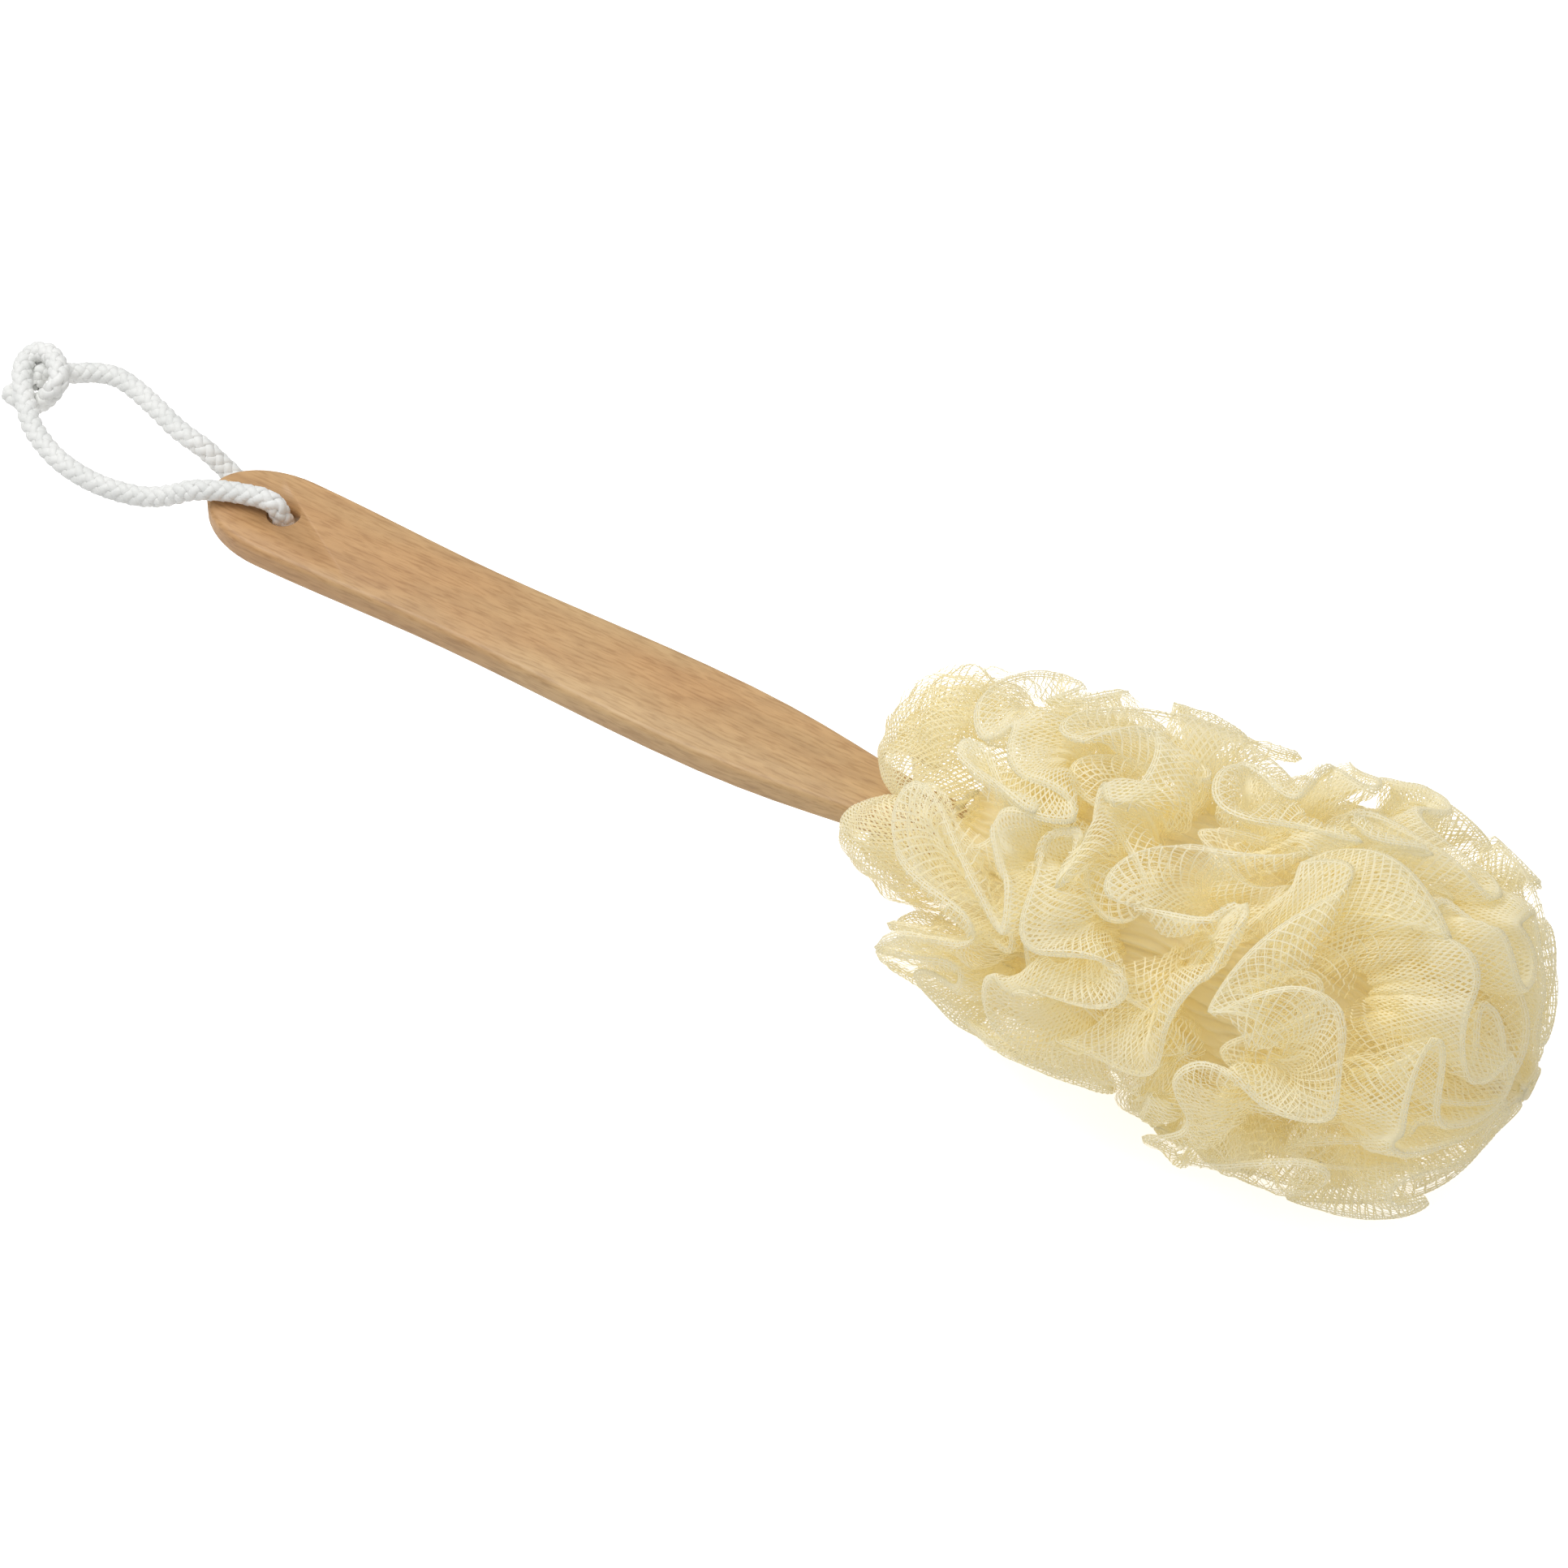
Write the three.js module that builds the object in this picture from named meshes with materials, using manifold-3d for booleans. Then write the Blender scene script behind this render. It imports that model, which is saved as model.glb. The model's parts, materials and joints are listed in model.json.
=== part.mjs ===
// A long-handled mesh back scrubber: a flat wooden handle whose slim far end carries five
// gathered netting ruffles, each pulled tight by its own tie string, and a knotted hanging
// cord through a hole near the near end.
//
// Frame, in millimetres: +X runs along the handle towards the netting head, +Z is the normal
// of the broad faces, and the origin lies on the lower broad face, on the centre line, at
// the middle of the grip.

import * as THREE from 'three';
import { mergeVertices } from 'three/addons/utils/BufferGeometryUtils.js';
import Module from 'manifold-3d';

const wasm = await Module();
wasm.setup();

// ---- Driving dimensions ----

const THICKNESS = 8; // of the wooden board
const EDGE_ROUND = 1.8; // rounding of the board's long edges

const TIP_X = -103; // rounded near end of the handle
const HOLE_X = -80; // centre of the hanging hole
const HOLE_RADIUS = 4.7;
const TIP_HALF_WIDTH = 14.6; // the board's half width beside the hole
const WAIST_X = -20;
const WAIST_HALF_WIDTH = 13;
const BELLY_X = 45;
const BELLY_HALF_WIDTH = 14.3;

const TANG_START_X = 114; // the slim part under the netting
const TANG_END_X = 284;
const TANG_HALF_WIDTH = 8;
const NOTCH_HALF_LENGTH = 3; // shallow edge notches that stop the tie strings sliding
const NOTCH_DEPTH = 1.2;

const RUFFLE_START_X = 112;
const RUFFLE_PITCH = 35.4;
const RUFFLE_GAP = 0.3; // between neighbouring ruffles
const RUFFLE_RADII = [43, 48, 49, 54, 47]; // from the neck to the far end
const RUFFLE_LOBES = [7, 8, 9, 8, 7];
const RUFFLE_WAVE = 0.06; // height of the lobes, as a share of the radius
const RUFFLE_LEAN = { y: 3, z: 6 }; // the netting bulges upwards and a little sideways
const CORE_RADIUS = 9.4; // bore of the gathered netting, clear of the tang's corners
const GATHER_RADIUS = 11; // the netting's neck under its tie string
const GATHER_HALF_WIDTH = 1.6;

const STRING_RADIUS = 0.9;
const STRING_GAP = 0.3;
const STRING_KNOT_RADIUS = 1.2;

const CORD_RADIUS = 2.8;
const CORD_GAP = 0.4; // between the cord and the board
const HOLE_OFFSET = 1.1; // the cord stands this far towards the tip inside the hole
const BEND_RADIUS = 3.7; // the cord's turn over the rim of the hole
const HINGE_X = -121; // where the loop starts to bend up or down
const HINGE_Z = THICKNESS / 2;
const LEVEL_X = -114; // from here to the hinge both legs are level
const LEVEL_BEND_CUT = 4; // how much of each side a leg's bend takes at LEVEL_X
const TIP_BEND_CUT = 5; // and at the tip's edge
const OVER_TIP_X = TIP_X - 2;
const NEAR_LEG_Y = -12; // the leg that lies on the upper face
const NEAR_LEG_TIP_Y = -7.5; // where that leg crosses the tip
const NEAR_LEG_LEVEL_Y = -10.5;
const FAR_LEG_Y = 12.8; // the leg that lies under the board
const FAR_LEG_TIP_Y = 11.8;
const HINGE_GAP = 0.35; // between a knuckle and the loop's end
const LEG_SPREAD = 0.6; // how much wider the loop starts than the legs end

// The loop between its two flat ends, from the near leg round to the far leg, as X, Y, Z.
const LOOP_PLACES = [
  [-137, -14, 4],
  [-155, -8, 5.5],
  [-169.5, 3, 8],
  [-175.8, 13.5, 8],
  [-171.5, 20, 7],
  [-163, 19.3, 6],
  [-152, 21.3, 4.5],
  [-137, 17.8, 4],
];

const KNOT_PLACE = 0.63; // of the loop's length, counted from the near leg
const KNOT_TURN_RADIUS = 6.2;
const TAIL_REACH = { x: -2, y: -17 }; // where the cut tail ends, counted from its root

// ---- Materials ----

const matt = (color, roughness) => new THREE.MeshStandardMaterial({ color, roughness, metalness: 0 });
const WOOD_COLOUR = 0xc7a47b;
const NETTING_COLOUR = 0xe9dcae;
const CORD_COLOUR = 0xe6e7e4;
const STRING_COLOUR = 0xe9e4cf;

const object = new THREE.Group();

function place(name, geometry, material, x = 0, y = 0, z = 0) {
  const mesh = new THREE.Mesh(geometry, material);
  mesh.name = name;
  mesh.position.set(x, y, z);
  object.add(mesh);
}

// ---- Solids that need a cut or a join ----

function solidOf(geometry) {
  const bare = geometry.clone();
  bare.deleteAttribute('normal');
  bare.deleteAttribute('uv');
  const welded = mergeVertices(bare);
  return new wasm.Manifold(new wasm.Mesh({
    numProp: 3,
    vertProperties: new Float32Array(welded.attributes.position.array),
    triVerts: new Uint32Array(welded.index.array),
  }));
}

function geometryOf(solid) {
  const { vertProperties, triVerts } = solid.getMesh();
  const geometry = new THREE.BufferGeometry();
  geometry.setAttribute('position', new THREE.BufferAttribute(vertProperties, 3));
  geometry.setIndex(new THREE.BufferAttribute(triVerts, 1));
  geometry.computeVertexNormals();
  return geometry;
}

function ball(centre, radius) {
  const geometry = new THREE.SphereGeometry(radius, 12, 8);
  return solidOf(geometry.translate(centre.x, centre.y, centre.z));
}

// A round bar that follows a curve.
function rod(route, radius, steps) {
  const section = new THREE.Shape();
  section.absarc(0, 0, radius, 0, 2 * Math.PI);
  return new THREE.ExtrudeGeometry(section, {
    extrudePath: route,
    steps,
    curveSegments: 6,
    bevelEnabled: false,
  });
}

// ---- Wooden handle ----

const ruffleCentre = (index) => RUFFLE_START_X + RUFFLE_PITCH * (index + 0.5);

// One side of the board from the tip to the tang's end; the other side is its mirror image.
function boardSide() {
  const side = new THREE.Path();
  side.moveTo(TIP_X, 0);
  side.absellipse(HOLE_X, 0, HOLE_X - TIP_X, TIP_HALF_WIDTH, Math.PI, Math.PI / 2, true);
  const toWaist = (WAIST_X - HOLE_X) / 3;
  side.bezierCurveTo(
    HOLE_X + toWaist, TIP_HALF_WIDTH,
    WAIST_X - toWaist, WAIST_HALF_WIDTH,
    WAIST_X, WAIST_HALF_WIDTH,
  );
  const toBelly = (BELLY_X - WAIST_X) / 3;
  side.bezierCurveTo(
    WAIST_X + toBelly, WAIST_HALF_WIDTH,
    BELLY_X - toBelly, BELLY_HALF_WIDTH,
    BELLY_X, BELLY_HALF_WIDTH,
  );
  const toTang = TANG_START_X - BELLY_X;
  side.bezierCurveTo(
    BELLY_X + 0.46 * toTang, BELLY_HALF_WIDTH,
    TANG_START_X - 0.39 * toTang, TANG_HALF_WIDTH + 3.5,
    TANG_START_X, TANG_HALF_WIDTH,
  );
  RUFFLE_RADII.forEach((_, index) => {
    const x = ruffleCentre(index);
    side.lineTo(x - NOTCH_HALF_LENGTH, TANG_HALF_WIDTH);
    side.quadraticCurveTo(
      x, TANG_HALF_WIDTH - 2 * NOTCH_DEPTH,
      x + NOTCH_HALF_LENGTH, TANG_HALF_WIDTH,
    );
  });
  side.lineTo(TANG_END_X - TANG_HALF_WIDTH, TANG_HALF_WIDTH);
  side.absarc(TANG_END_X - TANG_HALF_WIDTH, 0, TANG_HALF_WIDTH, Math.PI / 2, 0, true);
  return side.getPoints(6);
}

function handleGeometry() {
  const side = boardSide();
  const mirrored = side.slice(1, -1).reverse().map(({ x, y }) => new THREE.Vector2(x, -y));
  const board = new THREE.ExtrudeGeometry(new THREE.Shape([...side, ...mirrored]), {
    depth: THICKNESS - 2 * EDGE_ROUND,
    bevelThickness: EDGE_ROUND,
    bevelSize: EDGE_ROUND,
    bevelOffset: -EDGE_ROUND,
    bevelSegments: 3,
  });
  board.translate(0, 0, EDGE_ROUND);
  const drill = new THREE.CylinderGeometry(HOLE_RADIUS, HOLE_RADIUS, 2 * THICKNESS, 32);
  drill.rotateX(Math.PI / 2);
  drill.translate(HOLE_X, 0, THICKNESS / 2);
  return geometryOf(solidOf(board).subtract(solidOf(drill)));
}

place('handle', handleGeometry(), matt(WOOD_COLOUR, 0.55));

// ---- Netting ruffles ----

// Half of the section, from the tie groove over a rounded rim to the ruffle's flank,
// as (distance along X, radius) pairs.
function rimPoints(halfLength, radius) {
  const rimRadius = (halfLength - GATHER_HALF_WIDTH) / 2;
  const centreX = GATHER_HALF_WIDTH + rimRadius;
  const rim = new THREE.Path();
  rim.moveTo(GATHER_HALF_WIDTH, GATHER_RADIUS);
  rim.lineTo(GATHER_HALF_WIDTH, radius - rimRadius);
  rim.absarc(centreX, radius - rimRadius, rimRadius, Math.PI, 0, true);
  rim.lineTo(halfLength, CORE_RADIUS);
  return rim.getPoints(2);
}

// A ring around the tang with a deep groove for the tie string, its outside waved into lobes.
function ruffleGeometry(radius, lobes, phase) {
  const halfLength = (RUFFLE_PITCH - RUFFLE_GAP) / 2;
  const right = rimPoints(halfLength, radius);
  const left = right.map(({ x, y }) => new THREE.Vector2(-x, y)).reverse();
  // LatheGeometry turns (radius, height) pairs about Y, so the pairs are swapped here.
  const section = [...left, ...right, left[0]].map(({ x, y }) => new THREE.Vector2(y, x));
  const ring = new THREE.LatheGeometry(section, 36);
  ring.rotateZ(-Math.PI / 2);
  const at = ring.attributes.position;
  for (let i = 0; i < at.count; i += 1) {
    const y = at.getY(i);
    const z = at.getZ(i);
    const distance = Math.hypot(y, z);
    const outwards = Math.max(0, (distance - GATHER_RADIUS) / (radius - GATHER_RADIUS));
    const scale = 1 + RUFFLE_WAVE * outwards * Math.sin(lobes * Math.atan2(z, y) + phase);
    at.setY(i, y * scale + RUFFLE_LEAN.y * outwards);
    at.setZ(i, z * scale + RUFFLE_LEAN.z * outwards);
  }
  ring.computeVertexNormals();
  return ring;
}

// The tie string: a ring drawn tight around the gathered netting, with its knot on top.
function tieStringGeometry() {
  const ringRadius = GATHER_RADIUS + STRING_GAP + STRING_RADIUS;
  const ring = new THREE.TorusGeometry(ringRadius, STRING_RADIUS, 6, 24);
  ring.rotateY(Math.PI / 2);
  const knot = ball({ x: 0, y: 0, z: ringRadius + STRING_RADIUS }, STRING_KNOT_RADIUS);
  return geometryOf(solidOf(ring).add(knot));
}

RUFFLE_RADII.forEach((radius, index) => {
  const x = ruffleCentre(index);
  const number = index + 1;
  const phase = 1.3 * index;
  const z = THICKNESS / 2;
  const geometry = ruffleGeometry(radius, RUFFLE_LOBES[index], phase);
  place(`netting_ruffle_${number}`, geometry, matt(NETTING_COLOUR, 0.7), x, 0, z);
  place(`tie_string_${number}`, tieStringGeometry(), matt(STRING_COLOUR, 0.8), x, 0, z);
});

// ---- Hanging cord ----

const point = (x, y, z) => new THREE.Vector3(x, y, z);

// A polyline whose corners are rounded: each corner gives the length cut from both its sides.
function roundedRoute(start, corners, end) {
  const route = new THREE.CurvePath();
  let from = start;
  corners.forEach(({ at, cut }, index) => {
    const next = index + 1 < corners.length ? corners[index + 1].at : end;
    const enter = at.clone().add(from.clone().sub(at).setLength(cut));
    const leave = at.clone().add(next.clone().sub(at).setLength(cut));
    route.add(new THREE.LineCurve3(from, enter));
    route.add(new THREE.QuadraticBezierCurve3(enter, at, leave));
    from = leave;
  });
  route.add(new THREE.LineCurve3(from, end));
  return route;
}

const nearHinge = point(HINGE_X, NEAR_LEG_Y, HINGE_Z);
const farHinge = point(HINGE_X, FAR_LEG_Y, HINGE_Z);

// The bight: up through the hole, one leg over the upper face and one under the lower face,
// both dipping beyond the tip to the hinge line. Each leg ends in a ball, the hinge's knuckle.
function bightGeometry() {
  const aboveBoard = THICKNESS + CORD_GAP + CORD_RADIUS;
  const belowBoard = -CORD_GAP - CORD_RADIUS;
  const inHoleX = HOLE_X - HOLE_OFFSET;
  const rimCut = BEND_RADIUS * Math.SQRT2;
  const route = roundedRoute(
    nearHinge,
    [
      { at: point(LEVEL_X, NEAR_LEG_LEVEL_Y, HINGE_Z), cut: LEVEL_BEND_CUT },
      { at: point(OVER_TIP_X, NEAR_LEG_TIP_Y, aboveBoard), cut: TIP_BEND_CUT },
      { at: point(inHoleX, 0, aboveBoard), cut: rimCut },
      { at: point(inHoleX, 0, belowBoard), cut: rimCut },
      { at: point(OVER_TIP_X, FAR_LEG_TIP_Y, belowBoard), cut: TIP_BEND_CUT },
      { at: point(LEVEL_X, FAR_LEG_Y, HINGE_Z), cut: LEVEL_BEND_CUT },
    ],
    farHinge,
  );
  const cord = solidOf(rod(route, CORD_RADIUS, 70));
  return geometryOf(cord.add(ball(nearHinge, CORD_RADIUS)).add(ball(farHinge, CORD_RADIUS)));
}

// The loop starts and ends a hair beyond the knuckles, far enough to fold square to them.
const loopStartX = HINGE_X - CORD_RADIUS - HINGE_GAP;
const loopRoute = new THREE.CatmullRomCurve3([
  point(loopStartX, NEAR_LEG_Y - LEG_SPREAD, HINGE_Z),
  ...LOOP_PLACES.map((at) => point(...at)),
  point(loopStartX, FAR_LEG_Y + LEG_SPREAD, HINGE_Z),
], false, 'centripetal');

// The overhand knot: a turn of cord around the loop, and the cut tail that leaves it below.
function knotGeometry() {
  const turn = new THREE.TorusGeometry(KNOT_TURN_RADIUS, CORD_RADIUS, 10, 24);
  const alongLoop = new THREE.Quaternion().setFromUnitVectors(
    new THREE.Vector3(0, 0, 1),
    loopRoute.getTangentAt(KNOT_PLACE),
  );
  turn.applyQuaternion(alongLoop);
  const root = point(0, 0, -KNOT_TURN_RADIUS);
  const end = root.clone().add(point(TAIL_REACH.x, TAIL_REACH.y, 0));
  const tail = rod(new THREE.LineCurve3(root, end), CORD_RADIUS, 4);
  return geometryOf(solidOf(turn).add(solidOf(tail)));
}

place('cord_bight', bightGeometry(), matt(CORD_COLOUR, 0.85));
place('cord_loop', rod(loopRoute, CORD_RADIUS, 64), matt(CORD_COLOUR, 0.85));
const knotCentre = loopRoute.getPointAt(KNOT_PLACE);
place('cord_knot', knotGeometry(), matt(CORD_COLOUR, 0.85), knotCentre.x, knotCentre.y, knotCentre.z);

export default object;
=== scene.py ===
"""Looks of the mesh back scrubber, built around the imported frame.

The scrubbing head is real netting: every ruffle is a folded sheet of zigzag strands whose rim
is grown until it fills the head's outside, as gathered netting does. The hanging cord is braided
from eight yarns and tied in an overhand knot. Lengths are in millimetres until mesh_object()
writes them in metres.
"""

import json
import math

import bpy
import numpy as np
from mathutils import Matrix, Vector


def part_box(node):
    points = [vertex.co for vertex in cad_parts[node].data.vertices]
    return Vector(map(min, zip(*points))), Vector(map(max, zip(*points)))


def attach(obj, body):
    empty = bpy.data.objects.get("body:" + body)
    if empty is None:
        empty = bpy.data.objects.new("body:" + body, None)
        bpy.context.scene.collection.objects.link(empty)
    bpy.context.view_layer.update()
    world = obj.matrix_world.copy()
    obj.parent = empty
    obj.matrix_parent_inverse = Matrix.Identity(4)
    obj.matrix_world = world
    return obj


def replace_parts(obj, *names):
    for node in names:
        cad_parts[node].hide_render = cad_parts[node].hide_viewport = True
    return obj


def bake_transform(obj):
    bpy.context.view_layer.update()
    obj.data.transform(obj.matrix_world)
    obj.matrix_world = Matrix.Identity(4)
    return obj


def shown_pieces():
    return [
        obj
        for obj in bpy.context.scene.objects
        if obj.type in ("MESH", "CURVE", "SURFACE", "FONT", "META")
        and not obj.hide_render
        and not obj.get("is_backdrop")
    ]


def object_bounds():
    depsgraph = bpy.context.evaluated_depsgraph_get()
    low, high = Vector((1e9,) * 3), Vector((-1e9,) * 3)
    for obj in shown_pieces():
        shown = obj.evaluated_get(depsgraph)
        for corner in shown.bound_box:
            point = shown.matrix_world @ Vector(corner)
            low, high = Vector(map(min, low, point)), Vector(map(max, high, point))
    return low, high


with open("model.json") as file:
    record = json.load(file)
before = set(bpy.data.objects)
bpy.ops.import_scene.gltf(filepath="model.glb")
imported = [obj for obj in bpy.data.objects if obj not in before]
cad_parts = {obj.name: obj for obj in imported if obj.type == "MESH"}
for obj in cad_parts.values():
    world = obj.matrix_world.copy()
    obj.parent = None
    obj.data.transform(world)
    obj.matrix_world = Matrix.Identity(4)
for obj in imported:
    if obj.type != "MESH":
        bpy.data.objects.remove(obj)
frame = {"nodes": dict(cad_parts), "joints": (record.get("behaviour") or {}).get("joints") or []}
cad_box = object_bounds()

MM = 0.001
TAU = 2 * math.pi
RUFFLES = 5
SPAN_SAMPLES = 24  # points that smooth_route() works out between two places

# ---- Small helpers ----


def box_mm(node):
    """Lowest and highest corner of a CAD node in millimetres."""
    low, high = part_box(node)
    return np.array(low) / MM, np.array(high) / MM


def joint_place(name):
    """A joint's place in millimetres."""
    joint = next(j for j in frame["joints"] if j["name"] == name)
    return np.array(joint["pos_m"]) / MM


def unit(v):
    """Vectors scaled to length 1."""
    return v / (np.linalg.norm(v, axis=-1, keepdims=True) + 1e-12)


def distance_along(points):
    """Distance from the first point to each of the others, measured along them."""
    return np.concatenate([[0], np.cumsum(np.linalg.norm(np.diff(points, axis=0), axis=1))])


def spline(a, b, c, d, s):
    """A share s of the way from b to c, on the smooth curve through four values."""
    return 0.5 * (2 * b + (c - a) * s + (2 * a - 5 * b + 4 * c - d) * s**2 + (3 * b - a - 3 * c + d) * s**3)


def bezier(a, b, c, d, s):
    """A share s of the way along the Bezier curve from a to d that b and c pull."""
    rest = 1 - s
    return a * rest**3 + 3 * b * rest**2 * s + 3 * c * rest * s**2 + d * s**3


def smooth_route(places, spacing):
    """Points at even spacing along a smooth curve through the places."""
    places = np.array(places, float)
    ends = np.vstack([2 * places[0] - places[1], places, 2 * places[-1] - places[-2]])
    s = np.linspace(0, 1, SPAN_SAMPLES, endpoint=False)[:, None]
    spans = [spline(a, b, c, d, s) for a, b, c, d in zip(ends, ends[1:], ends[2:], ends[3:])]
    curve = np.vstack(spans + [places[-1:]])
    length = distance_along(curve)
    count = max(2, round(length[-1] / spacing) + 1)
    at = np.linspace(0, length[-1], count)
    return np.stack([np.interp(at, length, curve[:, i]) for i in range(curve.shape[1])], 1)


def noise_field(seed, wavelength, count=14):
    """A smooth random field over 3-D points, with a spread of about 1."""
    rng = np.random.default_rng(seed)
    direction = unit(rng.normal(size=(count, 3)))
    wave = direction * (TAU / wavelength * rng.uniform(0.7, 1.4, (count, 1)))
    phase = rng.uniform(0, TAU, count)
    return lambda p: np.cos(p @ wave.T + phase).sum(-1) / math.sqrt(count / 2)


def mesh_object(name, points_mm, quads, material, depth=None):
    """A smooth mesh object from millimetre points and four-cornered faces.

    depth is how far each point lies below its rim, as a share of SHEET_DEPTH, for the netting's
    material."""
    mesh = bpy.data.meshes.new(name)
    count = len(quads)
    mesh.vertices.add(len(points_mm))
    mesh.vertices.foreach_set("co", (points_mm * MM).astype(np.float32).ravel())
    mesh.loops.add(4 * count)
    mesh.loops.foreach_set("vertex_index", quads.astype(np.int32).ravel())
    mesh.polygons.add(count)
    mesh.polygons.foreach_set("loop_start", np.arange(0, 4 * count, 4, dtype=np.int32))
    mesh.polygons.foreach_set("use_smooth", np.ones(count, bool))
    if depth is not None:
        attribute = mesh.attributes.new("depth", "FLOAT", "POINT")
        attribute.data.foreach_set("value", depth.astype(np.float32))
    mesh.update(calc_edges=True)
    mesh.validate()
    mesh.materials.append(material)
    made = bpy.data.objects.new(name, mesh)
    bpy.context.scene.collection.objects.link(made)
    return made


def grid_quads(rows, columns, wrap_rows=False, wrap_columns=False):
    """Faces over a grid of points numbered row by row."""
    i, j = np.meshgrid(np.arange(rows if wrap_rows else rows - 1),
                       np.arange(columns if wrap_columns else columns - 1), indexing="ij")
    i, j = i.ravel(), j.ravel()
    i2, j2 = (i + 1) % rows, (j + 1) % columns
    return np.stack([i * columns + j, i * columns + j2, i2 * columns + j2, i2 * columns + j], 1)


def narrowed(ring, share):
    """A ring of points drawn together to a share of its size."""
    middle = ring.mean(0)
    return middle + (ring - middle) * share


# ---- Materials ----


class Nodes:
    """A short way to write a material's nodes."""

    def __init__(self, name):
        self.material = bpy.data.materials.new(name)
        self.material.use_nodes = True
        self.tree = self.material.node_tree
        self.tree.nodes.clear()
        self.out = self.tree.nodes.new("ShaderNodeOutputMaterial")

    def add(self, kind, settings=None, **inputs):
        """A node with its settings and inputs; an input is named, or numbered as i0, i1, i2."""
        made = self.tree.nodes.new("ShaderNode" + kind)
        for key, value in (settings or {}).items():
            setattr(made, key, value)
        for key, value in inputs.items():
            self.feed(made, key.replace("_", " "), value)
        return made

    def feed(self, made, key, value):
        """Link an output to a node's input, or set the input's value."""
        socket = made.inputs[int(key[1:])] if key[0] == "i" and key[1:].isdigit() else made.inputs[key]
        if isinstance(value, bpy.types.NodeSocket):
            self.tree.links.new(value, socket)
        else:
            socket.default_value = value

    def ramp(self, factor, stops):
        """A colour that runs through the stops, each as (place, colour)."""
        made = self.add("ValToRGB", Fac=factor)
        elements = made.color_ramp.elements
        while len(elements) < len(stops):
            elements.new(0.5)
        for element, (place, colour) in zip(elements, stops):
            element.position = place
            element.color = (*colour, 1)
        return made.outputs["Color"]

    def math(self, operation, a, b):
        """The result of one operation on two values."""
        return self.add("Math", {"operation": operation}, i0=a, i1=b).outputs[0]

    def bump(self, height, strength, distance):
        """The normal of a surface with fine relief."""
        made = self.add("Bump", Height=height, Strength=strength, Distance=distance)
        return made.outputs["Normal"]

    def finish(self, shader):
        """The material, with the shader on its surface."""
        self.tree.links.new(shader, self.out.inputs["Surface"])
        return self.material


def netting_material():
    """Cream polyethylene netting: pale at its rims, painted warmer with depth where light has passed many
    layers, with a faint painted warm glow.
    """
    n = Nodes("cream_netting")
    depth = n.add("Attribute", {"attribute_name": "depth"}).outputs["Fac"]
    place = n.add("TexCoord").outputs["Object"]
    patches = n.add("TexNoise", Vector=place, Scale=38.0, Detail=3.0).outputs["Fac"]
    shifted = n.math("ADD", depth, n.math("MULTIPLY", n.math("SUBTRACT", patches, 0.5), 0.5))
    # Painted light: the base colour grows warmer with depth below the rim, as light that has passed many
    # layers would make it.
    colour = n.ramp(shifted, [(0.0, (0.945, 0.912, 0.75)), (0.3, (0.95, 0.905, 0.71)),
                              (1.0, (0.965, 0.90, 0.635))])
    strand = n.add("BsdfPrincipled", Base_Color=colour, Roughness=0.42)
    strand.inputs["Specular IOR Level"].default_value = 0.35
    # Painted light: a faint warm glow in the strands, though the netting is no lamp.
    strand.inputs["Emission Color"].default_value = (0.97, 0.85, 0.53, 1)
    strand.inputs["Emission Strength"].default_value = 0.085
    through = n.add("BsdfTranslucent", Color=colour)
    mixed = n.add("MixShader", i0=0.42, i1=strand.outputs[0], i2=through.outputs[0])
    n.material.cycles.emission_sampling = "NONE"
    return n.finish(mixed.outputs[0])


def wood_material():
    """Fine sanded beech: long soft bands, short dark flecks along the grain, a thin satin coat."""
    n = Nodes("sanded_beech")
    place = n.add("TexCoord").outputs["Object"]

    def grain_noise(scale, detail, distortion=0.0):
        """Noise drawn out along the board, with its scale along X, Y and Z."""
        stretched = n.add("Mapping", Vector=place)
        stretched.inputs["Scale"].default_value = scale
        noise = n.add("TexNoise", Vector=stretched.outputs[0], Scale=1.0, Detail=detail,
                      Distortion=distortion)
        return noise.outputs["Fac"]

    def multiply(share, base, layer):
        """The base colour, darkened by a share of the layer's colour."""
        return n.add("MixRGB", {"blend_type": "MULTIPLY"}, Fac=share, Color1=base, Color2=layer).outputs[0]

    fleck = grain_noise((170, 1500, 1500), 3.0)
    bands = n.ramp(grain_noise((9, 120, 120), 4.0, 0.6),
                   [(0.3, (0.53, 0.335, 0.165)), (0.7, (0.64, 0.43, 0.225))])
    flecks = n.ramp(fleck, [(0.36, (0.72, 0.64, 0.56)), (0.52, (1, 1, 1))])
    mottles = n.ramp(grain_noise((110, 420, 420), 4.0),
                     [(0.35, (0.86, 0.82, 0.78)), (0.6, (1.04, 1.03, 1.0))])
    patches = n.ramp(grain_noise((14, 50, 50), 2.0),
                     [(0.38, (1.0, 0.90, 0.80)), (0.62, (1.0, 1.0, 0.96))])
    colour = multiply(1.0, multiply(0.7, multiply(0.6, bands, flecks), mottles), patches)
    grain = n.bump(fleck, 0.25, 0.0002)
    wood = n.add("BsdfPrincipled", Base_Color=colour, Roughness=0.5, Normal=grain)
    wood.inputs["Coat Weight"].default_value = 0.12
    wood.inputs["Coat Roughness"].default_value = 0.35
    return n.finish(wood.outputs[0])


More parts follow.
